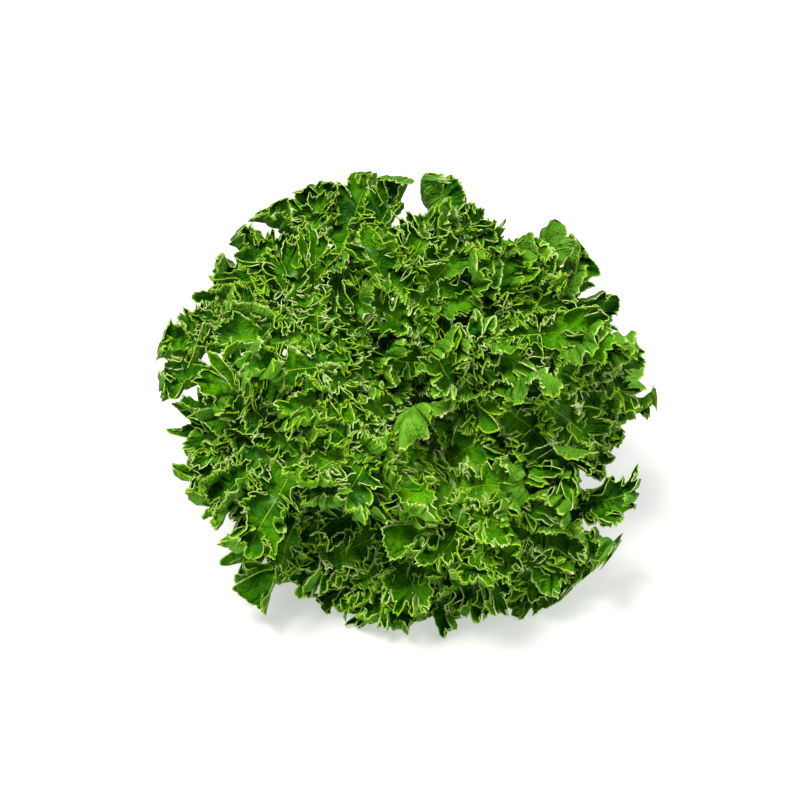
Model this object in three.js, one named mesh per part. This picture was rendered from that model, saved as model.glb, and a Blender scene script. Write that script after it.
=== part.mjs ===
// A bunch of curly kale that lies on a table, with its leaf tips towards -Y and its cut stems towards +Y.
// The leaves fan out from a flat elastic band round their stems into a rounded, ruffled head.
// Millimetres, +Z up. The middle of the bunch's box is over the origin and its lowest leaves are at Z 0.
import * as THREE from "three";

// The rounded head that the leaf tips reach, before the bunch is centred over the origin.
const HEAD_CENTRE = new THREE.Vector3(0, -5, 112);
const HEAD_HALF = new THREE.Vector3(150, 146, 112);
const TILT = 23; // degrees that the bunch's axis rises from the cut ends on the table to the head

// The stems, held side by side in the band.
const NECK_BACK = 115; // how far behind the head's middle the band is, along the axis
const PAST_BAND = 8; // how far a stem runs straight past the band
const STEM_LENGTH = 88; // from the band back to the cut ends
const STEM_SPLAY = 1.12; // how much wider apart the cut ends are than the stems in the band
const STEM_FOOT = 1.12; // how much thicker a stem is at its cut end than in the band
const STEM_STATIONS = 3;
const PETIOLE_SLIM = 0.94; // how thick a stem still is past the band
const PETIOLE_STATIONS = 2;

// The elastic band.
const BAND_WIDTH = 9;
const BAND_THICK = 1.4;
const BAND_GAP = 0.7; // between the band and the outermost stems
const BAND_SIDES = 32;

// The blades.
const BLADE_THICK = 0.9;
const BLADE_START = 0.26; // share of the curve past the band where a blade starts
const BLADE_STATIONS = 32;
const LOBES = 8; // big ruffles along each side of a blade
const RUFFLE_LAG = 1.3; // how far the ruffles of the two sides are out of step, in radians each way
const RUFFLE_ROOT = 0.2; // how tall the ruffles are where the blade starts, as a share of their full height
const RUFFLE_GROW = 3; // how fast they rise to their full height, as shares for the blade's length
const RUFFLE_EASE = 0.35; // how much lower the ruffles are at the tip
const VEIN_SWEEP = [18, 66]; // degrees that the veins point ahead, at the start of the blade and at its tip
const CUP_TIP = -8; // degrees that the veins rise at the tip, the start's being each ring's cup
const RIB_START = 0.8; // half width of the midrib where the blade starts, as a share of the stem's
const RIB_TIP = 0.9; // half width of the midrib at the tip of a leaf
const RIB_DEPTH = 1.5; // how deep the midrib is, in half widths
const VEIN_LEAST = 1.4; // how long the shortest vein is, in half widths of the midrib
const ACROSS = [0.5, 1]; // where a side of the blade has its vertices, as shares from its rib to its margin
const TOP_COUNT = 2 * ACROSS.length + 2; // vertices over the top of a ring, the rib's two edges among them

// The three rings of leaves. lean is how far a tip stands from the middle of the face, in degrees, and
// curl how much further it points. start and end are the pulls of the curve's two handles.
const RINGS = {
  heart: { lean: 34, curl: 54, pack: 5.6, stem: 4.1, start: 110, end: 70, width: 66, ruffle: 16, cup: 24 },
  inner: { lean: 68, curl: 56, pack: 15.2, stem: 4.7, start: 130, end: 110, width: 80, ruffle: 18, cup: 16 },
  outer: { lean: 98, curl: 52, pack: 26.2, stem: 5.4, start: 85, end: 125, width: 90, ruffle: 19, cup: 10 },
};

// Each leaf, by the turn of its tip round the face (0 is towards +X and 90 is up) and what sets it apart.
const LEAVES = [
  { ring: "outer", turn: 346, phase: 0.2, curl: 40, reach: 1.02 },
  { ring: "outer", turn: 30, phase: 1.9, roll: 16, curl: 44, reach: 0.96 },
  { ring: "outer", turn: 72, phase: 2.6, curl: 42, lobes: 7, reach: 1.08 },
  { ring: "outer", turn: 116, phase: 5.0, roll: 18, curl: 40, reach: 1.2 },
  { ring: "outer", turn: 152, phase: 0.9, curl: 42, lobes: 7, reach: 1.08 },
  { ring: "outer", turn: 210, phase: 2.2, lean: 88, curl: 36, lobes: 6, reach: 0.97 },
  { ring: "outer", turn: 266, phase: 4.1, lean: 78, curl: -44, start: 40, end: 60, lobes: 5, reach: 1.2,
    width: 76 },
  { ring: "outer", turn: 314, phase: 5.7, lean: 75, curl: 12, start: 60, end: 80, lobes: 5, reach: 1.3 },
  { ring: "inner", turn: 10, phase: 0.5, reach: 0.98 },
  { ring: "inner", turn: 52, phase: 2.2, roll: 12, reach: 1.08 },
  { ring: "inner", turn: 92, phase: 3.7, curl: 48, reach: 1.14 },
  { ring: "inner", turn: 136, phase: 5.2, roll: 34, reach: 1.14 },
  { ring: "inner", turn: 184, phase: 3.1, lobes: 7, reach: 1.06 },
  { ring: "inner", turn: 246, phase: 1.2, lean: 66, curl: 34, start: 100, end: 80, lobes: 6 },
  { ring: "inner", turn: 304, phase: 2.9, lean: 62, curl: 32, start: 90, end: 80, lobes: 5, reach: 1.04 },
  { ring: "heart", turn: 60, phase: 0.3 },
  { ring: "heart", turn: 182, phase: 2.4, lobes: 6 },
  { ring: "heart", turn: 290, phase: 4.4, curl: 34, start: 90, end: 60, lobes: 5 },
];
const OUTLINE_SPAN = [0.03, 0.89]; // the part of a half sine wave that a leaf's outline follows
const OUTLINE_FULL = 0.75; // under 1, it fills the outline out
const ROLL = 26; // degrees that each blade turns round its rib, so that neighbours lap like tiles
const REACH = 0.88; // share of the head's radius that a rib's tip reaches, the blade going on past it

// Neighbouring blades press on each other, so each keeps to the space nearer to its own rib.
const CLEAR = 3.6; // how much nearer to its own rib a vein's end stays than to any other
const SINK = 18; // how far a vein's end may reach below the table before it is pressed flat
const KEPT_STEP = 0.04;
const KEPT_LEAST = 0.12;
const KEPT_RISE = 0.2; // how much longer a vein may be than the next
const RIB_SAMPLES = 36;

const TURN = Math.PI * 2;
const rad = THREE.MathUtils.degToRad;
const mix = THREE.MathUtils.lerp;

// The bunch's axis, from the stems to the leaves, and the two directions across it.
const AHEAD = new THREE.Vector3(0, -Math.cos(rad(TILT)), Math.sin(rad(TILT)));
const RIGHT = new THREE.Vector3(1, 0, 0);
const UP = new THREE.Vector3(0, Math.sin(rad(TILT)), Math.cos(rad(TILT)));
const NECK = HEAD_CENTRE.clone().addScaledVector(AHEAD, -NECK_BACK);

// A direction that leans from the axis, turn degrees round it.
function towards(turn, lean) {
  const out = Math.sin(rad(lean));
  return AHEAD.clone()
    .multiplyScalar(Math.cos(rad(lean)))
    .addScaledVector(RIGHT, out * Math.cos(rad(turn)))
    .addScaledVector(UP, out * Math.sin(rad(turn)));
}

// The rib of a leaf: straight through the band, then one curve out to its tip.
function ribOf(leaf) {
  const out = towards(leaf.turn, 90).multiplyScalar(leaf.pack);
  const inBand = NECK.clone().add(out);
  const cut = NECK.clone().addScaledVector(out, STEM_SPLAY).addScaledVector(AHEAD, -STEM_LENGTH);
  const from = inBand.clone().addScaledVector(AHEAD, PAST_BAND);
  const way = towards(leaf.turn, leaf.lean);
  const radius = 1 / way.clone().divide(HEAD_HALF).length();
  const tip = HEAD_CENTRE.clone().addScaledVector(way, radius * REACH * leaf.reach);
  const heading = towards(leaf.turn, leaf.lean + leaf.curl);
  const bend = new THREE.CubicBezierCurve3(
    from,
    from.clone().addScaledVector(AHEAD, leaf.start),
    tip.clone().addScaledVector(heading, -leaf.end),
    tip,
  );
  return { cut, from, bend };
}

// Where the rib is at t along the bend, with the leaf's own directions there: along it, to its right
// side and out of its upper face, which looks to the middle of the bunch.
function frameAt(leaf, t) {
  const { bend } = leaf.rib;
  const along = bend.getTangentAt(t);
  const sideways = AHEAD.clone().cross(towards(leaf.turn, 90));
  sideways.applyAxisAngle(along, rad(leaf.roll));
  sideways.addScaledVector(along, -sideways.dot(along)).normalize();
  return { at: bend.getPointAt(t), along, sideways, face: along.clone().cross(sideways) };
}

// How long the blade's veins are at u along it, as a share of the longest.
function outlineAt(u) {
  return Math.pow(Math.sin(Math.PI * mix(OUTLINE_SPAN[0], OUTLINE_SPAN[1], u)), OUTLINE_FULL);
}

// A point of the blade's middle surface. v runs from -1 at one margin over the rib to 1 at the other, and
// kept is the share of its full length that the vein has.
function bladePoint(leaf, frame, u, v, kept) {
  const side = Math.sign(v);
  const out = Math.abs(v);
  const vein = leaf.width * outlineAt(u) * out * kept;
  const sweep = rad(mix(VEIN_SWEEP[0], VEIN_SWEEP[1], u ** 3));
  const cup = rad(mix(leaf.cup, CUP_TIP, u));
  const veinWay = frame.sideways
    .clone()
    .multiplyScalar(side * Math.cos(sweep))
    .addScaledVector(frame.along, Math.sin(sweep));
  const faceWay = frame.face.clone().multiplyScalar(Math.cos(cup)).addScaledVector(veinWay, -Math.sin(cup));
  const grown = Math.min(1, RUFFLE_ROOT + RUFFLE_GROW * u) * (1 - RUFFLE_EASE * u);
  const tall = leaf.ruffle * out ** 2 * grown * kept;
  const wave = Math.sin(TURN * leaf.lobes * u + leaf.phase + RUFFLE_LAG * side);
  return frame.at
    .clone()
    .addScaledVector(veinWay, vein * Math.cos(cup))
    .addScaledVector(frame.face, vein * Math.sin(cup))
    .addScaledVector(faceWay, tall * wave);
}

// The distance from a point to a rib, which is given as a line of points.
function distanceTo(line, point) {
  return Math.sqrt(Math.min(...line.map((sample) => sample.distanceToSquared(point))));
}

// Whether a point is free for this leaf's blade: over the table, and nearer to its rib than to any other.
function isFree(leaf, leaves, point) {
  if (point.z < -SINK) return false;
  const own = distanceTo(leaf.line, point);
  return leaves.every((other) => other === leaf || distanceTo(other.line, point) > own + CLEAR);
}

// The share of its full length that the vein at u keeps on one side.
function keptOf(leaf, leaves, frame, u, side) {
  let kept = 1;
  while (kept > KEPT_LEAST && !isFree(leaf, leaves, bladePoint(leaf, frame, u, side, kept))) {
    kept -= KEPT_STEP;
  }
  return kept;
}

// Presses what would sink into the table flat onto it.
function onTable(point, lift) {
  point.z = Math.max(point.z, lift);
  return point;
}

// The ring of a round stem, with as many points as a ring of the blade and in the same order.
function stemRing(centre, frame, radius) {
  const angles = [];
  for (let i = 0; i < TOP_COUNT; i += 1) angles.push(Math.PI * (1 - (i + 0.5) / TOP_COUNT));
  for (let i = 0; i <= TOP_COUNT; i += 1) angles.push(-Math.PI * ((i + 0.5) / (TOP_COUNT + 1)));
  return angles.map((angle) =>
    centre
      .clone()
      .addScaledVector(frame.sideways, radius * Math.cos(angle))
      .addScaledVector(frame.face, radius * Math.sin(angle)),
  );
}

// The leaf as rings of points from its cut end to its tip, each ring over the top and back underneath.
function leafRings(leaf, leaves) {
  const { cut, from } = leaf.rib;
  const rings = [];
  const start = frameAt(leaf, 0);
  for (let i = 0; i < STEM_STATIONS; i += 1) {
    const share = i / STEM_STATIONS;
    rings.push(stemRing(cut.clone().lerp(from, share), start, leaf.stem * mix(STEM_FOOT, 1, share)));
  }
  for (let i = 0; i < PETIOLE_STATIONS; i += 1) {
    const frame = frameAt(leaf, (BLADE_START * i) / PETIOLE_STATIONS);
    rings.push(stemRing(frame.at, frame, leaf.stem * PETIOLE_SLIM));
  }
  rings.push(...bladeRings(leaf, leaves));
  return rings;
}

// The stations of the blade along its rib, with the share of its full length that each vein keeps.
function stationsOf(leaf, leaves) {
  const stations = [];
  for (let i = 0; i <= BLADE_STATIONS; i += 1) {
    const u = i / BLADE_STATIONS;
    const frame = frameAt(leaf, mix(BLADE_START, 1, u));
    const half = mix(leaf.stem * RIB_START, RIB_TIP, u);
    const kept = [-1, 1].map((side) => keptOf(leaf, leaves, frame, u, side));
    stations.push({ u, frame, half, full: leaf.width * outlineAt(u), kept });
  }
  const inTurn = [...stations, ...[...stations].reverse()];
  for (let i = 1; i < inTurn.length; i += 1) {
    for (const side of [0, 1]) {
      inTurn[i].kept[side] = Math.min(inTurn[i].kept[side], inTurn[i - 1].kept[side] + KEPT_RISE);
    }
  }
  return stations;
}

// The points of a station across the middle surface of the blade, from one margin to the other.
function acrossStation(leaf, station) {
  const { u, frame, half, full } = station;
  const sides = station.kept.map((share, side) => {
    const kept = Math.max(share, (VEIN_LEAST * half) / full);
    const ribEdge = half / (full * kept);
    const sign = side === 0 ? -1 : 1;
    return [0, ...ACROSS].map((out) => bladePoint(leaf, frame, u, sign * mix(ribEdge, 1, out), kept));
  });
  return [...sides[0].reverse(), ...sides[1]].map((point) => onTable(point, BLADE_THICK / 2));
}

// The directions square to a grid of points, one for each point.
function gridNormals(rows) {
  const size = rows[0].length;
  const index = [];
  for (let i = 0; i + 1 < rows.length; i += 1) {
    for (let j = 0; j + 1 < size; j += 1) {
      const a = i * size + j;
      index.push(a, a + size, a + 1, a + 1, a + size, a + size + 1);
    }
  }
  const grid = new THREE.BufferGeometry().setFromPoints(rows.flat()).setIndex(index);
  grid.computeVertexNormals();
  return rows.map((row, i) =>
    row.map((_, j) => new THREE.Vector3().fromBufferAttribute(grid.getAttribute("normal"), i * size + j)),
  );
}

// The rings of the blade. The margin has the blade's thickness, and the rib is a ridge underneath.
function bladeRings(leaf, leaves) {
  const stations = stationsOf(leaf, leaves);
  const rows = stations.map((station) => acrossStation(leaf, station));
  const normals = gridNormals(rows);
  return stations.map(({ frame, half }, i) => {
    const top = rows[i].map((p, j) => p.clone().addScaledVector(normals[i][j], BLADE_THICK / 2));
    const under = rows[i].map((p, j) => p.clone().addScaledVector(normals[i][j], -BLADE_THICK / 2));
    const ribFoot = frame.at.clone().addScaledVector(frame.face, -RIB_DEPTH * half - BLADE_THICK / 2);
    under.splice(TOP_COUNT / 2, 0, onTable(ribFoot, 0));
    return [...top, ...under.reverse()];
  });
}

// One closed body from rings of equal length, with its two ends capped. The upper and the under face are
// split along the same diagonals, so that a thin waved blade never crosses itself.
function loft(rings) {
  const size = rings[0].length;
  const positions = rings.flat().flatMap((p) => [p.x, p.y, p.z]);
  const index = [];
  for (let i = 0; i + 1 < rings.length; i += 1) {
    for (let j = 0; j < size; j += 1) {
      const a = i * size + j;
      const b = i * size + ((j + 1) % size);
      if (j < TOP_COUNT) index.push(a, a + size, b, b, a + size, b + size);
      else index.push(a, a + size, b + size, a, b + size, b);
    }
  }
  const last = (rings.length - 1) * size;
  const underOf = (j) => (j < TOP_COUNT / 2 ? size - 1 - j : size - 2 - j);
  const keel = size - 1 - TOP_COUNT / 2;
  for (let j = 0; j + 1 < TOP_COUNT; j += 1) {
    index.push(j, j + 1, underOf(j), j + 1, underOf(j + 1), underOf(j));
    index.push(last + j, last + underOf(j), last + j + 1);
    index.push(last + j + 1, last + underOf(j), last + underOf(j + 1));
  }
  index.push(keel + 1, keel - 1, keel, last + keel + 1, last + keel, last + keel - 1);
  const geometry = new THREE.BufferGeometry();
  geometry.setAttribute("position", new THREE.Float32BufferAttribute(positions, 3));
  geometry.setIndex(index);
  geometry.computeVertexNormals();
  return geometry;
}

// The elastic band: a flat strip round the outer stems.
function bandGeometry() {
  const inside = RINGS.outer.pack + RINGS.outer.stem + BAND_GAP;
  const profile = [
    new THREE.Vector2(inside, -BAND_WIDTH / 2),
    new THREE.Vector2(inside + BAND_THICK, -BAND_WIDTH / 2),
    new THREE.Vector2(inside + BAND_THICK, BAND_WIDTH / 2),
    new THREE.Vector2(inside, BAND_WIDTH / 2),
    new THREE.Vector2(inside, -BAND_WIDTH / 2),
  ];
  return new THREE.LatheGeometry(profile, BAND_SIDES);
}

const bunch = new THREE.Group();
const leafGreen = { heart: 0x6fa32c, inner: 0x4c8a22, outer: 0x2f6f1c };
const counts = { heart: 0, inner: 0, outer: 0 };

const leaves = LEAVES.map((given) => {
  const leaf = { reach: 1, roll: ROLL, lobes: LOBES, ...RINGS[given.ring], ...given };
  const rib = ribOf(leaf);
  return { ...leaf, rib, line: [rib.cut, ...rib.bend.getSpacedPoints(RIB_SAMPLES)] };
});

for (const leaf of leaves) {
  const color = leafGreen[leaf.ring];
  const material = new THREE.MeshStandardMaterial({ color, roughness: 0.5, metalness: 0 });
  const mesh = new THREE.Mesh(loft(leafRings(leaf, leaves)), material);
  counts[leaf.ring] += 1;
  mesh.name = `leaf_${leaf.ring}_${counts[leaf.ring]}`;
  bunch.add(mesh);
}

const bandMaterial = new THREE.MeshStandardMaterial({ color: 0xc9a46a, roughness: 0.6, metalness: 0 });
const band = new THREE.Mesh(bandGeometry(), bandMaterial);
band.name = "elastic_band";
band.quaternion.setFromUnitVectors(new THREE.Vector3(0, 1, 0), AHEAD);
band.position.copy(NECK);
bunch.add(band);

const box = new THREE.Box3().setFromObject(bunch, true);
const middle = box.getCenter(new THREE.Vector3());
bunch.position.set(-middle.x, -middle.y, -box.min.z);

export default bunch;
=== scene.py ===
import math
import bpy
import numpy as np
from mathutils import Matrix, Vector


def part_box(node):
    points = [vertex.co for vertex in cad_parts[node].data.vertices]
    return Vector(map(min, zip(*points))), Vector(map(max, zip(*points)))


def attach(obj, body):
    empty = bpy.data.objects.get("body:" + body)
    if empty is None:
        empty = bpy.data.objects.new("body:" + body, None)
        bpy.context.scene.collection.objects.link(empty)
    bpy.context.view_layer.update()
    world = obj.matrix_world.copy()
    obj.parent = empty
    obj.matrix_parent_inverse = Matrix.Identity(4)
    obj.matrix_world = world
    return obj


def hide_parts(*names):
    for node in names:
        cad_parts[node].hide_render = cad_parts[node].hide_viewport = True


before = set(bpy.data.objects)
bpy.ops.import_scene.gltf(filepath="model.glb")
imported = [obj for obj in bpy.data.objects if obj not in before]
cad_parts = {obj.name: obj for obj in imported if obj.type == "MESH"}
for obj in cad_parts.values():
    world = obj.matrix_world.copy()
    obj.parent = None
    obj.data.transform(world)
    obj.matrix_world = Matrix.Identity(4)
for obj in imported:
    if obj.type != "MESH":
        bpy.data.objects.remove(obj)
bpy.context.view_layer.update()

# The bunch. Curly kale leaves are picked one by one, with their stems, and laid together with the stems
# side by side. Each leaf has a thick midrib that arches out of the bunch. The bunch lies on its side with
# its head tipped up, and the stems reach back and down behind it, clear of the table.
HEAD_MIDDLE = np.array([0, -0.005, 0.112])
HEAD_HALF = np.array([0.150, 0.146, 0.112])
BUNCH_TILT = math.radians(23)
NECK_BACK = 0.115
STEM_PAST_BAND = 0.008
STEM_LENGTH = 0.088
STEM_SPLAY = 1.12
RIB_REACH = 0.88
RIB_DRAFT_STEPS = 600
RIB_STEPS = 400
RIB_LINE_POINTS = 37

ahead = np.array([0, -math.cos(BUNCH_TILT), math.sin(BUNCH_TILT)])
right = np.array([1.0, 0, 0])
up = np.array([0, math.sin(BUNCH_TILT), math.cos(BUNCH_TILT)])
neck = HEAD_MIDDLE - ahead * NECK_BACK
band_low, band_high = (np.array(corner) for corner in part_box("elastic_band"))
bunch_shift = (band_low + band_high) / 2 - neck

USUAL_LEAF = dict(reach=1, roll=26, ruffles=8, fuller=1.06)
RINGS = {
    "heart": dict(lean=34, curl=54, pack=0.0056, stem=0.0041, start=0.110, end=0.070, width=0.066,
                  ruffle=0.016, cup=24),
    "inner": dict(lean=68, curl=56, pack=0.0152, stem=0.0047, start=0.130, end=0.110, width=0.080,
                  ruffle=0.018, cup=16),
    "outer": dict(lean=98, curl=52, pack=0.0262, stem=0.0054, start=0.085, end=0.125, width=0.090,
                  ruffle=0.019, cup=10),
}
LEAVES = [
    dict(ring="outer", turn=346, phase=0.2, curl=40, reach=1.02, fuller=1.12),
    dict(ring="outer", turn=30, phase=1.9, roll=16, curl=44, reach=0.96),
    dict(ring="outer", turn=72, phase=2.6, curl=42, ruffles=7, reach=1.08),
    dict(ring="outer", turn=116, phase=5.0, roll=18, curl=40, reach=1.2, fuller=1.22),
    dict(ring="outer", turn=152, phase=0.9, curl=42, ruffles=7, reach=1.08, fuller=1.18),
    dict(ring="outer", turn=210, phase=2.2, lean=88, curl=36, ruffles=6, reach=0.97, fuller=1.14),
    dict(ring="outer", turn=266, phase=4.1, lean=78, curl=-44, start=0.040, end=0.060, ruffles=5, reach=1.2,
         width=0.076),
    dict(ring="outer", turn=314, phase=5.7, lean=75, curl=12, start=0.060, end=0.080, ruffles=5, reach=1.3),
    dict(ring="inner", turn=10, phase=0.5, reach=0.98),
    dict(ring="inner", turn=52, phase=2.2, roll=12, reach=1.08),
    dict(ring="inner", turn=92, phase=3.7, curl=48, reach=1.14, fuller=1.12),
    dict(ring="inner", turn=136, phase=5.2, roll=34, reach=1.14, fuller=1.25),
    dict(ring="inner", turn=184, phase=3.1, ruffles=7, reach=1.06),
    dict(ring="inner", turn=246, phase=1.2, lean=66, curl=34, start=0.100, end=0.080, ruffles=6),
    dict(ring="inner", turn=304, phase=2.9, lean=62, curl=32, start=0.090, end=0.080, ruffles=5, reach=1.04),
    dict(ring="heart", turn=60, phase=0.3),
    dict(ring="heart", turn=182, phase=2.4, ruffles=6),
    dict(ring="heart", turn=290, phase=4.4, curl=34, start=0.090, end=0.060, ruffles=5),
]


def towards(turn, lean):
    """A direction that leans from the bunch's axis, turn degrees round it."""
    turn, lean = math.radians(turn), math.radians(lean)
    return ahead * math.cos(lean) + (right * math.cos(turn) + up * math.sin(turn)) * math.sin(lean)


def arch_of(leaf):
    """The rib of a leaf: its cut end, where it starts to bend, and the bend as points at even steps."""
    out = towards(leaf["turn"], 90) * leaf["pack"]
    cut = neck + out * STEM_SPLAY - ahead * STEM_LENGTH
    start = neck + out + ahead * STEM_PAST_BAND
    way = towards(leaf["turn"], leaf["lean"])
    tip = HEAD_MIDDLE + way * RIB_REACH * leaf["reach"] / np.linalg.norm(way / HEAD_HALF)
    heading = towards(leaf["turn"], leaf["lean"] + leaf["curl"])
    pulls = [start, start + ahead * leaf["start"], tip - heading * leaf["end"], tip]
    t = np.linspace(0, 1, RIB_DRAFT_STEPS + 1)[:, None]
    bend = ((1 - t) ** 3 * pulls[0] + 3 * (1 - t) ** 2 * t * pulls[1]
            + 3 * (1 - t) * t ** 2 * pulls[2] + t ** 3 * pulls[3])
    length = np.concatenate([[0], np.cumsum(np.linalg.norm(np.diff(bend, axis=0), axis=1))])
    steps = np.linspace(0, length[-1], RIB_STEPS + 1)
    leaf["bend"] = np.stack([np.interp(steps, length, bend[:, axis]) for axis in range(3)], axis=1)
    leaf["cut"], leaf["from"], leaf["length"] = cut, start, length[-1]
    leaf["line"] = np.vstack([cut, leaf["bend"][np.linspace(0, RIB_STEPS, RIB_LINE_POINTS).astype(int)]])


def unit(vectors):
    return vectors / np.maximum(np.linalg.norm(vectors, axis=-1, keepdims=True), 1e-9)


def frames_at(leaf, t):
    """The rib's points at t along the bend, with the ways along it, to its right and out of its face."""
    grid = np.linspace(0, 1, RIB_STEPS + 1)
    tangents = unit(np.gradient(leaf["bend"], axis=0))
    at = np.stack([np.interp(t, grid, leaf["bend"][:, axis]) for axis in range(3)], axis=-1)
    along = unit(np.stack([np.interp(t, grid, tangents[:, axis]) for axis in range(3)], axis=-1))
    flat = np.cross(ahead, towards(leaf["turn"], 90))
    roll = math.radians(leaf["roll"])
    dot = (along * flat).sum(axis=-1, keepdims=True)
    sideways = (flat * math.cos(roll) + np.cross(along, flat) * math.sin(roll)
                + along * dot * (1 - math.cos(roll)))
    sideways = unit(sideways - along * (sideways * along).sum(axis=-1, keepdims=True))
    return at, along, sideways, np.cross(along, sideways)


for leaf in LEAVES:
    for key, value in {**RINGS[leaf["ring"]], **USUAL_LEAF}.items():
        leaf.setdefault(key, value)
    arch_of(leaf)

# The stems. Each is a firm, juicy rod with a shallow groove along its face, cut square at the end, where
# its paler pith shows. It grows thinner along the leaf and carries on as the midrib, under the blade.
STEM_SIDES = 20
STEM_RINGS = 8
RIB_RINGS = 64
RIB_END = 0.995
RIB_TIP_HALF = 0.0009
BLADE_START = 0.26
STEM_AT_CUT, STEM_TAPER = 1.12, 0.12
STEM_AT_BEND = 0.94
RIB_AT_BLADE = 0.8
GROOVE_DEPTH = 0.16
GROOVE_WIDTH = 0.5
CUT_RINGS = ((0.92, 0.0006), (0.74, 0.0005), (0.4, 0.0001))
TABLE_TOP = 0.0003
SKIN_GREENS = ((0.25, 0.44, 0.08), (0.48, 0.66, 0.22))
PITH_GREENS = ((0.55, 0.66, 0.36), (0.72, 0.80, 0.55))


def new_finish(name):
    """A new material, a way to add a node to it, and a way to set its shader. What is given for a socket is
    linked if it is another node's output, and set as its value if not."""
    material = bpy.data.materials.new(name)
    material.use_nodes = True
    nodes, links = material.node_tree.nodes, material.node_tree.links

    def plug(node, sockets):
        for socket, value in sockets.items():
            if isinstance(value, bpy.types.NodeSocket):
                links.new(value, node.inputs[socket])
            else:
                node.inputs[socket].default_value = value

    def add(kind, output, sockets, **settings):
        node = nodes.new("ShaderNode" + kind)
        for key, value in settings.items():
            setattr(node, key, value)
        plug(node, sockets)
        return node.outputs[output]

    shader = nodes["Principled BSDF"]
    return material, add, lambda sockets: plug(shader, sockets)


def stem_finish(name, dark, light):
    """A pale green stem or its cut end, with faint streaks."""
    material, add, shade = new_finish(name)
    place = add("TexCoord", "Object", {})
    streaks = add("TexNoise", "Fac", {"Scale": 120, "Detail": 3, "Vector": place})
    mixed = add("Mix", "Result", {"A": (*dark, 1), "B": (*light, 1), "Factor": streaks}, data_type="RGBA")
    shade({"Roughness": 0.45, "Base Color": mixed})
    return material


stem_skin = stem_finish("stem_skin", *SKIN_GREENS)
stem_pith = stem_finish("stem_pith", *PITH_GREENS)


def mesh_object(name, vertices, faces):
    mesh = bpy.data.meshes.new(name)
    mesh.from_pydata([tuple(vertex) for vertex in vertices], [], faces)
    piece = bpy.data.objects.new(name, mesh)
    bpy.context.scene.collection.objects.link(piece)
    return piece


def pick(piece):
    bpy.ops.object.select_all(action="DESELECT")
    piece.select_set(True)
    bpy.context.view_layer.objects.active = piece


def stem_of(leaf, name):
    """The stem and midrib as one tapering rod, round at the cut end and set under the blade further on."""
    straight = np.linspace(0, 1, STEM_RINGS + 1)[:-1]
    bent = np.linspace(0, RIB_END, RIB_RINGS)
    at, along, sideways, face = frames_at(leaf, bent)
    centres = [leaf["cut"] + (leaf["from"] - leaf["cut"]) * share for share in straight]
    radii = [leaf["stem"] * (STEM_AT_CUT - STEM_TAPER * share) for share in straight]
    sides = [(sideways[0], face[0]) for _ in straight]
    for i, t in enumerate(bent):
        u = max(0, (t - BLADE_START) / (1 - BLADE_START))
        half = leaf["stem"] * RIB_AT_BLADE + (RIB_TIP_HALF - leaf["stem"] * RIB_AT_BLADE) * u
        ease = min(1, t / BLADE_START)
        radius = leaf["stem"] * STEM_AT_BEND + (half - leaf["stem"] * STEM_AT_BEND) * ease ** 2
        sides.append((sideways[i], face[i]))
        centres.append(at[i] - face[i] * 0.5 * half * ease)
        radii.append(radius)
    angles = np.linspace(0, 2 * math.pi, STEM_SIDES, endpoint=False)
    groove = 1 - GROOVE_DEPTH * np.exp(-((angles - math.pi / 2) / GROOVE_WIDTH) ** 2)
    rings = []
    for centre, radius, (side, out) in zip(centres, radii, sides):
        spoke = side * np.cos(angles)[:, None] + out * np.sin(angles)[:, None]
        rings.append(centre + radius * groove[:, None] * spoke)
    spokes = rings[0] - leaf["cut"]
    for share, depth in CUT_RINGS:
        rings.insert(0, leaf["cut"] - ahead * depth + spokes * share)
    vertices = np.vstack(rings) + bunch_shift
    vertices[:, 2] = np.maximum(vertices[:, 2], TABLE_TOP)
    faces = []
    for i in range(len(rings) - 1):
        for j in range(STEM_SIDES):
            k = (j + 1) % STEM_SIDES
            low, high = i * STEM_SIDES, (i + 1) * STEM_SIDES
            faces.append((low + j, low + k, high + k, high + j))
    faces.append(tuple(range(STEM_SIDES))[::-1])
    faces.append(tuple(range((len(rings) - 1) * STEM_SIDES, len(rings) * STEM_SIDES)))
    piece = mesh_object(name, vertices, faces)
    piece.data.materials.append(stem_skin)
    piece.data.materials.append(stem_pith)
    for polygon in piece.data.polygons:
        if max(polygon.vertices) < len(CUT_RINGS) * STEM_SIDES:
            polygon.material_index = 1
    pick(piece)
    bpy.ops.object.shade_smooth_by_angle(angle=math.radians(50))
    return piece


# The blades. A blade is thin, waxy and cut nearly to the rib into lobes that lap over each other like
# slats. Its margins have grown far longer than the blade, so they fold into ruffles, frills and teeth.
# Every column of a lobe's mesh runs from its middle vein to its margin, and the folds cross the margin.
OUTLINE_FROM, OUTLINE_SPAN, OUTLINE_POWER = 0.03, 0.86, 0.75
VEIN_SWEEP, VEIN_SWEEP_MORE = 18, 48
TIP_CUP = -8
RUFFLE_LAG = 1.3
ROOM_STEPS = 33
ROOM_SHARES = 23
ROOM_SHARE_STEP = 0.04
ROOM_CHANGE = 0.2
RIB_CLEARANCE = 0.0036
TABLE_SINK = 0.018

# Sizes of the lobes, and how far each one may go its own way.
MARGIN_STEP = 0.00048
HIDDEN_STEP = 0.0010
HIDDEN_UP_TO = 0.3
LOBE_STEP = 0.0188
TIP_LOBE_AT, TIP_LOBE_SPACING, TIP_LOBE_LENGTH = 0.985, 0.022, 0.62
VEIN_POINTS = 41
PAST_ROOM = 0.30
SWELL, SWELL_STEP = 0.0042, 0.030
TWIST, TWIST_STEP = 13, 0.042
NOTCH_DEPTH, NOTCH_STEP = 0.46, 0.0190
FULL_LENGTH, FULL_HALF = 0.022, 0.008

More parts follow.
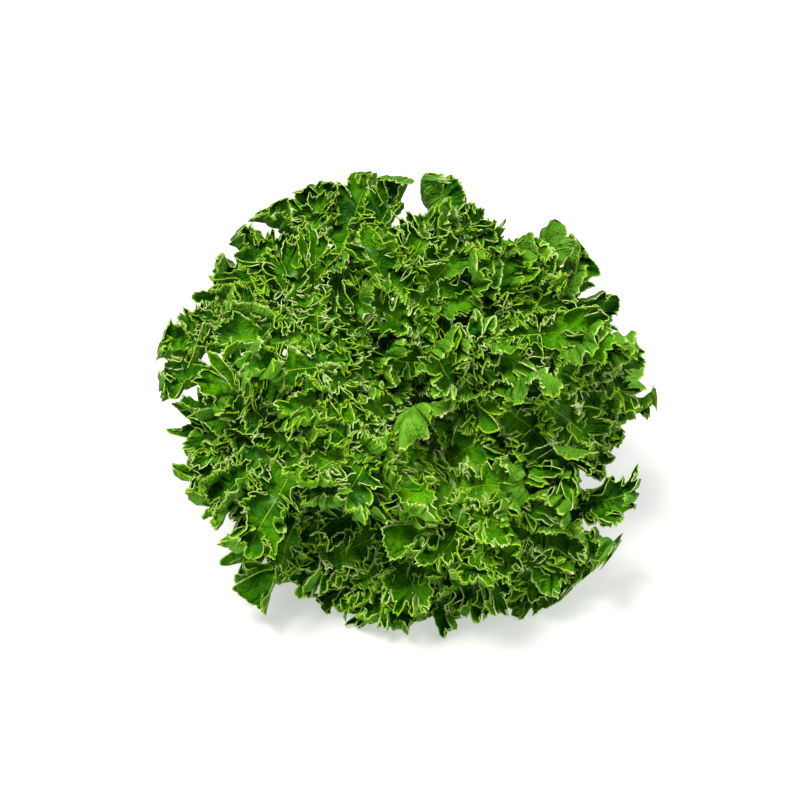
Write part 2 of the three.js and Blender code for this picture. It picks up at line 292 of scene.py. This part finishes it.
# Sizes of the frill along a lobe's margin: folds, finer crimps, and teeth.
ROWS = [(0, 4), (0.3, 4), (0.52, 2), (0.78, 1), (1, 1)]
FRILL_ROW = 2
FRILL_FROM = 0.30
FRILL_LONGER = 1.2
FOLD_STEP, FOLD_HEIGHT = 0.0090, 0.0046
FINE_FOLDS = 1.87
TOOTH_STEP, TOOTH_LENGTH = 0.0018, 0.0018
CRIMP_HEIGHT = 0.0011
STAND, STAND_VARIES, STAND_LEAST, STAND_MOST = 92, 46, 40, 135
TOOTH_SIZES = 200

# The head is pressed round, and the lowest leaves are pressed flat on the table.
LIMIT_MIDDLE = HEAD_MIDDLE + np.array([-0.007, 0, 0])
HEAD_LIMIT = np.array([0.162, 0.171, 0.147])
HEAD_GIVE = 0.03
TABLE_GIVE = 0.006
TABLE_CLEARANCE = 0.0004


def blade_points(leaf, u, v, side, kept):
    """Points of a blade, u along it from 0 to 1 and v across one side from the rib to its longest reach."""
    at, along, sideways, face = frames_at(leaf, BLADE_START + (1 - BLADE_START) * u)
    u, v, kept = (np.asarray(value, float)[..., None] for value in (u, v, kept))
    outline = np.sin(math.pi * (OUTLINE_FROM + OUTLINE_SPAN * u)) ** OUTLINE_POWER
    vein = leaf["width"] * outline * v * kept
    sweep = np.radians(VEIN_SWEEP + VEIN_SWEEP_MORE * u ** 3)
    cup = np.radians(leaf["cup"] + (TIP_CUP - leaf["cup"]) * u)
    vein_way = sideways * side * np.cos(sweep) + along * np.sin(sweep)
    face_way = face * np.cos(cup) - vein_way * np.sin(cup)
    tall = leaf["ruffle"] * v ** 2 * np.minimum(1, 0.2 + 3 * u) * (1 - 0.35 * u) * kept
    wave = np.sin(2 * math.pi * leaf["ruffles"] * u + leaf["phase"] + RUFFLE_LAG * side)
    return at + vein_way * vein * np.cos(cup) + face * vein * np.sin(cup) + face_way * tall * wave


def room_of(leaf, side):
    """The share of its full reach that the blade has room for, at even steps along it: it stays nearer to
    its own rib than to any other, and doesn't sink far into the table."""
    u = np.linspace(0, 1, ROOM_STEPS)
    shares = 1 - ROOM_SHARE_STEP * np.arange(ROOM_SHARES)
    grid_u, grid_share = np.meshgrid(u, shares, indexing="ij")
    ends = blade_points(leaf, grid_u, np.ones_like(grid_u), side, grid_share)

    def far_from(line):
        return np.linalg.norm(ends[..., None, :] - line, axis=-1).min(axis=-1)

    own = far_from(leaf["line"])
    free = ends[..., 2] > -TABLE_SINK
    for other in LEAVES:
        if other is not leaf:
            free &= far_from(other["line"]) > own + RIB_CLEARANCE
    free[:, -1] = True
    room = shares[np.argmax(free, axis=1)]
    for i in range(1, ROOM_STEPS):
        room[i] = min(room[i], room[i - 1] + ROOM_CHANGE)
    for i in range(ROOM_STEPS - 2, -1, -1):
        room[i] = min(room[i], room[i + 1] + ROOM_CHANGE)
    return room


def sines(x, random, lengths):
    """A value that wanders between about -1 and 1 along x."""
    return sum(np.sin(2 * math.pi * x / length + random.uniform(0, 6.3)) for length in lengths) / len(lengths)


def lobe_outline(half, length, margin_step):
    """A rounded lobe's margin at even steps: the way along it, across and up, and where its veins leave."""
    turn = np.linspace(0, math.pi, 241)
    shape = -np.sign(np.cos(turn)) * np.abs(np.cos(turn)) ** 0.5
    my = np.sin(turn) ** 0.5
    mx = half * shape * (0.55 + 0.45 * my)
    place = np.stack([mx, my * length], axis=1)
    far = np.concatenate([[0], np.cumsum(np.linalg.norm(np.diff(place, axis=0), axis=1))])
    half_count = max(4, 4 * round(far[-1] / 2 / margin_step / 4))
    s = np.linspace(0, far[-1], 2 * half_count + 1)
    mx, my = np.interp(s, far, mx), np.interp(s, far, my)
    columns = np.arange(2 * half_count + 1)
    share = np.minimum(columns, columns[::-1]) / half_count
    return s, mx, my, 0.8 * share ** 0.75


def pressed_round(points):
    """The points, with those outside the head's round limit drawn softly back to it."""
    out = (points - LIMIT_MIDDLE) / HEAD_LIMIT
    how_far = np.linalg.norm(out, axis=-1, keepdims=True)
    pressed = np.where(how_far > 1, 1 + HEAD_GIVE * (1 - np.exp((1 - how_far) / HEAD_GIVE)), how_far)
    return LIMIT_MIDDLE + out * (pressed / how_far) * HEAD_LIMIT


def pressed_flat(z):
    """Heights, with those under the table's give drawn up so that nothing goes through the table."""
    sunk = TABLE_GIVE * np.exp((z - TABLE_GIVE) / TABLE_GIVE)
    return np.where(z < TABLE_GIVE, sunk, z) + TABLE_CLEARANCE


def lobe_of(leaf, side, u_base, spacing, random, longer=1.0):
    """One lobe as rows of points, with the values that its finish follows."""
    y = np.linspace(0, 1, VEIN_POINTS)
    late = max(0, u_base - 0.7) / 0.3
    reach = random.uniform(0.92, 1.10) * longer * leaf["fuller"] * (1 - 0.15 * late)
    u_vein = np.full_like(y, u_base)
    kept = np.interp(u_vein, np.linspace(0, 1, ROOM_STEPS), leaf["room"][side])
    kept = np.minimum(1, kept + PAST_ROOM)
    vein = blade_points(leaf, u_vein, y * reach, side, kept)
    face = frames_at(leaf, BLADE_START + (1 - BLADE_START) * u_vein)[3]
    length = np.linalg.norm(np.diff(vein, axis=0), axis=1).sum()
    rise = random.uniform(-0.05, 0.42) * length
    swells, twists = random.uniform(0, 6.3, 2)
    swell = SWELL * y * np.sin(2 * math.pi * y * length / SWELL_STEP + swells)
    vein = vein + face * (rise * y ** 2 + swell)[:, None]
    way = unit(np.gradient(vein, axis=0))
    up_way = unit(face - way * (face * way).sum(axis=1, keepdims=True))
    cross_way = np.cross(up_way, way)
    twist = TWIST * np.sin(2 * math.pi * y * length / TWIST_STEP + twists)
    tilt = np.radians(random.normal(20, 12) + random.uniform(-20, 20) * y + twist) * side
    lateral = cross_way * np.cos(tilt)[:, None] + up_way * np.sin(tilt)[:, None]
    normal = np.cross(way, lateral)
    half = min(0.5 * spacing * random.uniform(1.8, 2.5) * (1 + 0.2 * late), 0.85 * length)
    s, mx, my, iy = lobe_outline(half, length, MARGIN_STEP if u_base > HIDDEN_UP_TO else HIDDEN_STEP)

    # The notched lobe, lying along its vein.
    size = min(1, length / FULL_LENGTH) * min(1, half / FULL_HALF)
    cut = NOTCH_DEPTH * np.clip(0.95 + 0.5 * sines(s, random, [0.037, 0.053]), 0.3, 1.25)
    swing = np.abs(np.sin(math.pi * (s / NOTCH_STEP + 0.25 * sines(s, random, [0.031]))))
    notch = 1 - cut * (1 - swing) ** 1.5
    w = np.array([row[0] for row in ROWS])[:, None]
    flat = np.minimum(w, FRILL_FROM)
    x = mx * flat * notch
    yy = np.maximum(iy + (my * (0.35 + 0.65 * notch) - iy) * flat, 0)

    def along_vein(values):
        return np.stack([np.interp(yy, y, values[:, axis]) for axis in range(3)], axis=-1)

    centre, lat, nor, fore = along_vein(vein), along_vein(lateral), along_vein(normal), along_vein(way)
    points = centre + lat * x[..., None] + fore * (np.maximum(yy - 1, 0) * length)[..., None]

    # The outer part, which bends up and carries the folds, the crimps and the teeth.
    out_way = unit(points[FRILL_ROW] - points[0])
    nor_here = nor[FRILL_ROW]
    margin_way = unit(np.cross(nor_here, out_way)) * side
    width_here = np.linalg.norm(points[FRILL_ROW] - points[0], axis=1) / FRILL_FROM
    room_here = np.clip(width_here / 0.010, 0.1, 1) * size
    fold = s / FOLD_STEP + 0.32 * sines(s, random, [0.043, 0.067])
    frill = s / TOOTH_STEP + 0.3 * sines(s, random, [0.019, 0.031])
    jagged = random.uniform(0.2, 1.7, TOOTH_SIZES)[np.floor(frill + 20).astype(int) % TOOTH_SIZES]
    lively = np.clip(0.9 + 0.75 * sines(s, random, [0.071, 0.023]), 0.25, 1.5)
    tall = FOLD_HEIGHT * lively * room_here
    small = CRIMP_HEIGHT * np.clip(0.9 + 0.5 * sines(s, random, [0.031, 0.053]), 0.3, 1.3) * room_here
    stand = STAND + STAND_VARIES * sines(s, random, [0.053, 0.027])
    stand = np.radians(np.clip(stand, STAND_LEAST, STAND_MOST)) * size
    bow = np.maximum(w - FRILL_FROM, 0) / (1 - FRILL_FROM) * stand
    frill_width = width_here * (1 - FRILL_FROM) * FRILL_LONGER
    outward = frill_width * np.sin(bow) / stand
    upward = frill_width * (1 - np.cos(bow)) / stand
    grow = w ** 1.3
    edge = np.clip((w - 0.4) / 0.6, 0, 1) ** 1.6
    uneven, offset = random.uniform(0, 6.3, 2)
    fine = np.sin(2 * math.pi * FINE_FOLDS * fold + uneven)
    waves = 0.72 * np.sin(2 * math.pi * fold) + 0.42 * fine + 0.2
    crimp = np.sin(2 * math.pi * frill + offset) * (0.6 + 0.5 * jagged)
    lift = tall * waves * grow + small * crimp * edge
    loop = -0.22 * tall * np.sin(4 * math.pi * fold) * grow
    point = 1 - 2 * np.abs(frill % 1 - 0.5)
    tooth = TOOTH_LENGTH * size * jagged * point * np.clip((w - 0.68) / 0.32, 0, 1) ** 1.2
    points = points + out_way * (outward - np.sin(bow) * lift + np.cos(bow) * tooth)[..., None]
    points = points + nor_here * (upward + np.cos(bow) * lift + np.sin(bow) * tooth)[..., None]
    points = points + margin_way * loop[..., None]
    points = pressed_round(points) + bunch_shift
    points[..., 2] = pressed_flat(points[..., 2])
    from_margin = (1 - w) * width_here
    return points, from_margin, w * width_here, np.broadcast_to(fold, from_margin.shape)


def rows_as_mesh(points, values):
    """Vertices, faces and values of a lobe's rows, with fewer columns in the rows nearer to its vein."""
    taken = [np.arange(0, points.shape[1], stride) for _, stride in ROWS]
    first = np.concatenate([[0], np.cumsum([len(columns) for columns in taken])])
    faces = []
    for row in range(len(ROWS) - 1):
        a, b = first[row], first[row + 1]
        if ROWS[row][1] == ROWS[row + 1][1]:
            faces += [(a + i, b + i, b + i + 1, a + i + 1) for i in range(len(taken[row]) - 1)]
        else:
            for i in range(len(taken[row]) - 1):
                j = 2 * i
                faces += [(a + i, b + j, b + j + 1), (a + i, b + j + 1, a + i + 1),
                          (a + i + 1, b + j + 1, b + j + 2)]
    return (np.concatenate([points[row][taken[row]] for row in range(len(ROWS))]), faces,
            [np.concatenate([value[row][taken[row]] for row in range(len(ROWS))]) for value in values])


def frilled_side(leaf, side, random):
    """All the lobes of one side of a blade."""
    blade_length = leaf["length"] * (1 - BLADE_START)
    count = round(blade_length / LOBE_STEP)
    lobes = []
    for k in range(count):
        u = (k + 0.5 + random.uniform(-0.2, 0.2)) / count
        lobes.append(lobe_of(leaf, side, u, blade_length / count, random))
    lobes.append(lobe_of(leaf, side, TIP_LOBE_AT, TIP_LOBE_SPACING, random, longer=TIP_LOBE_LENGTH))
    vertices, faces, values, total = [], [], [], 0
    for points, *rest in lobes:
        made, lobe_faces, lobe_values = rows_as_mesh(points, rest)
        vertices.append(made)
        faces += [tuple(total + i for i in face) for face in lobe_faces]
        values.append(lobe_values)
        total += len(made)
    return (np.vstack(vertices), faces, *[np.concatenate(column) for column in zip(*values)])


# The leaf's skin: deep green in patches, with pale rims and veins, puckered between the veins, and duller and
# lighter underneath. The rims carry whitish patches, partly their own pale tint and partly a painted
# highlight.
# Outer leaves are the oldest and darkest, and heart leaves the palest.
LEAF_GREENS = {
    "outer": ((0.009, 0.084, 0.0002), (0.070, 0.290, 0.0004)),
    "inner": ((0.012, 0.104, 0.0002), (0.095, 0.340, 0.0005)),
    "heart": ((0.016, 0.124, 0.0003), (0.120, 0.380, 0.0008)),
}
MARGIN_GREEN = (0.48, 0.80, 0.03)
# Whitish rim colour: partly the margin's own pale tint, partly a painted highlight.
WHITISH_MARGIN_AND_HIGHLIGHT = (0.80, 0.95, 0.42)
UNDER_DEEP_MORE = (0.02, 0.02, 0.006)
UNDER_LIGHT_MORE = (0.07, 0.08, 0.03)
BLADE_THICKNESS = 0.0005
SEED = 100


def leaf_finish(name, deep, light, under):
    """A waxy leaf: green that varies, a pale margin with whitish patches that are partly a painted highlight,
    pale veins, and a lighter, duller under side.
    """
    material, add, shade = new_finish(name)
    place = add("TexCoord", "Object", {})

    def noise(scale, detail):
        return add("TexNoise", "Fac", {"Scale": scale, "Detail": detail, "Vector": place})

    def spread(value, low, high, most=1.0):
        return add("MapRange", "Result", {"From Min": low, "From Max": high, "To Max": most, "Value": value})

    def fade(value, near, far, most=1.0):
        return add("MapRange", "Result", {"From Min": near, "From Max": far, "To Min": most, "To Max": 0.0,
                                          "Value": value}, interpolation_type="SMOOTHSTEP")

    def read(attribute):
        return add("Attribute", "Fac", {}, attribute_name=attribute)

    def blend(a, b, share):
        return add("Mix", "Result", {"A": a, "B": b, "Factor": share}, data_type="RGBA")

    def between(share):
        return (*[share * a + (1 - share) * b for a, b in zip(MARGIN_GREEN, light)], 1)

    green = blend((*deep, 1), (*light, 1), spread(noise(55, 5), 0.36, 0.66))
    wave = add("Math", "Value", {0: read("fold"), 1: 0.5}, operation="PINGPONG")
    rib = fade(wave, 0.0, 0.05, 0.5 if under else 0.2)
    veins = add("Math", "Value", {0: rib, 1: fade(read("spine"), 0.0002, 0.0006)}, operation="MAXIMUM")
    # The rim's green, mixed by noise with whitish patches: partly the margin's pale tint, partly a painted
    # highlight.
    rim = blend(between(0.7), (*WHITISH_MARGIN_AND_HIGHLIGHT, 1), spread(noise(90, 2), 0.46, 0.72))
    rimmed = blend(blend(green, between(0.6), veins), rim, fade(read("margin"), 0.0001, 0.0013))

    net = add("TexVoronoi", "Distance", {"Scale": 380.0, "Vector": place}, feature="DISTANCE_TO_EDGE")
    raised = add("Math", "Value", {0: veins, 1: 1.2 if under else -0.6, 2: net}, operation="MULTIPLY_ADD")
    puckered = add("Math", "Value", {0: noise(150, 3), 1: 4.0, 2: raised}, operation="MULTIPLY_ADD")
    bump = add("Bump", "Normal", {"Strength": 1.0, "Distance": 0.0012, "Height": puckered})
    shade({"Roughness": 0.6 if under else 0.36, "Specular IOR Level": 0.06 if under else 0.10,
           "Base Color": rimmed, "Normal": bump})
    if not under:
        shade({"Coat Weight": spread(noise(24, 2), 0.55, 0.70, 0.5), "Coat Roughness": 0.3})
    return material


finishes = {}
for ring, (deep, light) in LEAF_GREENS.items():
    duller = [0.5 * (a + b) + c for a, b, c in zip(deep, light, UNDER_DEEP_MORE)]
    paler = [b + c for b, c in zip(light, UNDER_LIGHT_MORE)]
    finishes[ring] = (leaf_finish(f"{ring}_leaf_face", deep, light, False),
                      leaf_finish(f"{ring}_leaf_back", duller, paler, True))


# The whole leaves: each blade gets its thickness and skin, and is joined to its stem. They are placed ring
# by ring, the outer ones first, and each replaces its plain leaf.
def blade_of(leaf, name, random):
    """Both sides of a blade as one thin shell."""
    parts, faces, count = [], [], 0
    for side in (-1, 1):
        vertices, side_faces, *values = frilled_side(leaf, side, random)
        faces += [tuple(count + i for i in face) for face in side_faces]
        parts.append((vertices, *values))
        count += len(vertices)
    vertices, margin, spine, fold = (np.concatenate(arrays) for arrays in zip(*parts))
    blade = mesh_object(name, vertices, faces)
    for title, values in (("margin", margin), ("spine", spine), ("fold", fold)):
        attribute = blade.data.attributes.new(title, "FLOAT", "POINT")
        attribute.data.foreach_set("value", values.astype(np.float32))
    for finish in finishes[leaf["ring"]]:
        blade.data.materials.append(finish)
    pick(blade)
    bpy.ops.object.mode_set(mode="EDIT")
    bpy.ops.mesh.select_all(action="SELECT")
    bpy.ops.mesh.remove_doubles(threshold=0.00001)
    bpy.ops.object.mode_set(mode="OBJECT")
    shell = blade.modifiers.new("thickness", "SOLIDIFY")
    shell.thickness = BLADE_THICKNESS
    shell.offset = 0
    shell.material_offset = 1
    shell.material_offset_rim = 0
    bpy.ops.object.modifier_apply(modifier=shell.name)
    bpy.ops.object.shade_smooth_by_angle(angle=math.radians(70))
    return blade


placed = {}
for number, leaf in enumerate(LEAVES):
    ring = leaf["ring"]
    placed[ring] = placed.get(ring, 0) + 1
    name = f"leaf_{ring}_{placed[ring]}"
    leaf["room"] = {side: room_of(leaf, side) for side in (-1, 1)}
    blade = blade_of(leaf, name + "_frilled", np.random.default_rng(SEED + number))
    stem_of(leaf, name + "_stem")
    blade.select_set(True)
    bpy.context.view_layer.objects.active = blade
    bpy.ops.object.join()
    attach(blade, "root")
    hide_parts(name)

# The elastic band: a flat loop of tan rubber, wound twice round the stems to hold them together. The two
# turns lie side by side, cross once, and are a little worn and faded in places.
BAND_AROUND = 192
BAND_CORNERS = 12
BAND_RADIUS = 0.0332
BAND_HALF_WIDTH = 0.0021
BAND_HALF_THICKNESS = 0.00062
BAND_SQUARENESS = 0.35
BAND_OVER = 0.00075
BAND_ASIDE = 0.0024
RUBBER_TANS = ((0.40, 0.23, 0.09, 1), (0.66, 0.45, 0.22, 1))

bpy.ops.object.select_all(action="DESELECT")
bpy.ops.mesh.primitive_torus_add(major_segments=BAND_AROUND, minor_segments=BAND_CORNERS,
                                 major_radius=BAND_RADIUS, minor_radius=0.001)
band = bpy.context.object
band.name = "rubber_band"
for vertex in band.data.vertices:
    turn = 4 * math.pi * (vertex.index // BAND_CORNERS) / BAND_AROUND
    corner = 2 * math.pi * (vertex.index % BAND_CORNERS + 0.5) / BAND_CORNERS
    flat = BAND_HALF_WIDTH * math.copysign(abs(math.sin(corner)) ** BAND_SQUARENESS, math.sin(corner))
    thick = BAND_HALF_THICKNESS * math.copysign(abs(math.cos(corner)) ** BAND_SQUARENESS, math.cos(corner))
    far = BAND_RADIUS + BAND_OVER * math.sin(turn / 2) + thick
    round_way = right * math.cos(turn) + up * math.sin(turn)
    place = round_way * far + ahead * (BAND_ASIDE * math.cos(turn / 2) + flat)
    vertex.co = neck + bunch_shift + place
pick(band)
bpy.ops.object.mode_set(mode="EDIT")
bpy.ops.mesh.select_all(action="SELECT")
bpy.ops.mesh.normals_make_consistent(inside=False)
bpy.ops.object.mode_set(mode="OBJECT")
bpy.ops.object.shade_smooth_by_angle(angle=math.radians(40))

rubber, add, shade = new_finish("rubber")
place = add("TexCoord", "Object", {})
faded = add("TexNoise", "Fac", {"Scale": 90, "Detail": 4, "Vector": place})
tan = add("Mix", "Result", {"A": RUBBER_TANS[0], "B": RUBBER_TANS[1], "Factor": faded}, data_type="RGBA")
worn = add("MapRange", "Result", {"To Min": 0.45, "To Max": 0.8, "Value": faded})
grain = add("TexNoise", "Fac", {"Scale": 1400, "Vector": place})
dents = add("Bump", "Normal", {"Strength": 0.5, "Distance": 0.0002, "Height": grain})
shade({"Specular IOR Level": 0.3, "Base Color": tan, "Roughness": worn, "Normal": dents})
band.data.materials.append(rubber)
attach(band, "root")
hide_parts("elastic_band")

# The table and the light: a plain pale floor, lit from above by a key lamp and a wider, weaker fill lamp,
# in a pale room. The floor glows a little, so that it stays white up to the bunch's soft shadow.
FLOOR_SIZE = 12
ROOM_LIGHT = 0.20

bpy.ops.object.select_all(action="DESELECT")
bpy.ops.mesh.primitive_plane_add(size=FLOOR_SIZE, location=(0, 0, 0))
floor = bpy.context.object
floor.name = "floor"
paper, _, shade = new_finish("floor_white")
shade({"Base Color": (0.55, 0.55, 0.55, 1), "Emission Color": (1, 1, 1, 1), "Emission Strength": 0.5,
       "Roughness": 0.7})
floor.data.materials.append(paper)

world = bpy.data.worlds.new("studio")
bpy.context.scene.world = world
world.use_nodes = True
world.node_tree.nodes["Background"].inputs["Color"].default_value = (1, 1, 1, 1)
world.node_tree.nodes["Background"].inputs["Strength"].default_value = ROOM_LIGHT


def lamp(name, energy, spread, direction, colour):
    bpy.ops.object.light_add(type="SUN", location=direction)
    made = bpy.context.object
    made.name = name
    made.data.energy = energy
    made.data.angle = math.radians(spread)
    made.data.color = colour
    made.rotation_euler = (-Vector(direction)).to_track_quat("-Z", "Y").to_euler()


lamp("key", 3.4, 20, (-0.40, -0.34, 1.3), (1.0, 0.98, 0.92))
lamp("fill", 1.1, 50, (0.6, -0.5, 1.2), (1.0, 1.0, 1.0))

# The camera looks down on the head of leaves, from in front and a little to the left.
CAMERA_HEIGHT = math.radians(37)
CAMERA_TURN = math.radians(-9)
CAMERA_FAR = 1.45
CAMERA_LENS = 99
CAMERA_AIM = Vector((-0.010, -0.028, 0.1195))

bpy.ops.object.camera_add()
camera = bpy.context.object
towards_camera = Vector((math.sin(CAMERA_TURN) * math.cos(CAMERA_HEIGHT),
                         -math.cos(CAMERA_TURN) * math.cos(CAMERA_HEIGHT), math.sin(CAMERA_HEIGHT)))
camera.location = CAMERA_AIM + towards_camera * CAMERA_FAR
camera.rotation_euler = (CAMERA_AIM - camera.location).to_track_quat("-Z", "Y").to_euler()
camera.data.lens = CAMERA_LENS
bpy.context.scene.camera = camera
bpy.context.scene.view_settings.view_transform = "Standard"
